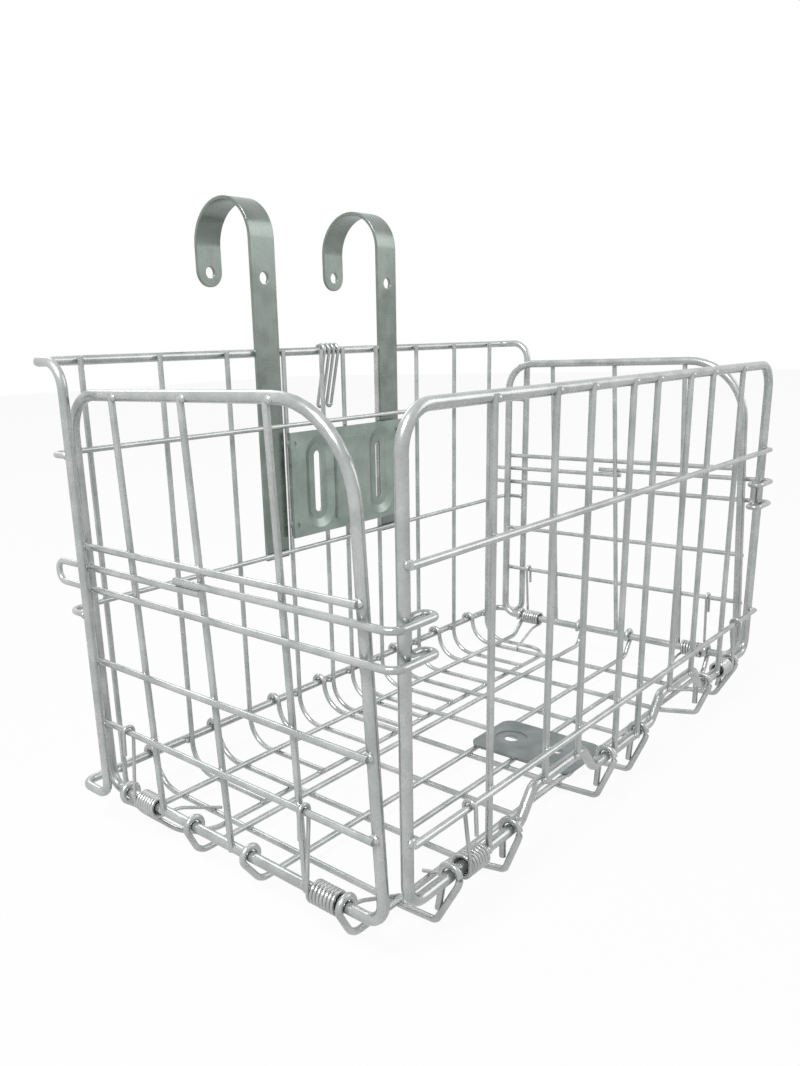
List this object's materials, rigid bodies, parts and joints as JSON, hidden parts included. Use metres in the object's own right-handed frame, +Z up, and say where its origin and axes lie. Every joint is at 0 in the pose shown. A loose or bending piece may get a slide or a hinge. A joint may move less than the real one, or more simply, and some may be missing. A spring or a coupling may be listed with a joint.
{
  "type": "folding bicycle basket",
  "caption": "Rectangular wire basket with folding ends and front, latch loops, sprung hinge rails, a floor tray hung in wire eyes and flat hook straps for a bicycle rack or handlebar.",
  "frame": {"origin": "middle of the overall footprint at the lowest wire under the floor", "axes": "+X along the basket, +Y from the front panel towards the back panel and the bicycle, +Z up"},
  "size_m": [0.3922, 0.2478, 0.3125],
  "materials": {
    "zinc_wire": "bright zinc plated, slightly mottled",
    "strap_steel": "zinc plated strip, satin with a green-grey cast",
    "spring_steel": "plated spring wire"
  },
  "bodies": {
    "back": {"back_frame": "zinc_wire", "back_grid": "zinc_wire", "strap_left": "strap_steel", "strap_right": "strap_steel", "bracket_plate": "strap_steel", "floor_tray": "zinc_wire", "floor_plate": "strap_steel", "left_spring_back": "spring_steel", "left_spring_front": "spring_steel", "right_spring_back": "spring_steel", "right_spring_front": "spring_steel", "front_spring_left": "spring_steel", "front_spring_right": "spring_steel"},
    "left_end": {"left_frame": "zinc_wire", "left_grid": "zinc_wire", "left_latch": "zinc_wire"},
    "right_end": {"right_frame": "zinc_wire", "right_grid": "zinc_wire", "right_latch": "zinc_wire"},
    "front": {"front_frame": "zinc_wire", "front_grid": "zinc_wire"},
    "keeper": {"keeper": "zinc_wire"}
  },
  "joints": [
    {"name": "left_fold", "type": "hinge", "parent": "back", "child": "left_end", "pos_m": [-0.185, -0.0186, 0.021], "axis": [0, 1, 0], "range_deg": [0, 90], "stiffness_Nm_per_rad": 0.12, "springref_deg": -28.65, "deforming": ["left_latch", "left_spring_back", "left_spring_front"]},
    {"name": "right_fold", "type": "hinge", "parent": "back", "child": "right_end", "pos_m": [0.185, -0.0186, 0.021], "axis": [0, -1, 0], "range_deg": [0, 88], "stiffness_Nm_per_rad": 0.12, "springref_deg": -28.65, "deforming": ["right_latch", "right_spring_back", "right_spring_front"]},
    {"name": "front_fold", "type": "hinge", "parent": "back", "child": "front", "pos_m": [0, -0.1161, 0.029], "axis": [-1, 0, 0], "range_deg": [0, 78], "stiffness_Nm_per_rad": 0.2, "springref_deg": -28.65, "deforming": ["front_spring_left", "front_spring_right"]},
    {"name": "keeper_swing", "type": "hinge", "parent": "back", "child": "keeper", "pos_m": [0, 0.0814, 0.229], "axis": [-1, 0, 0], "range_deg": [-15, 100]}
  ]
}
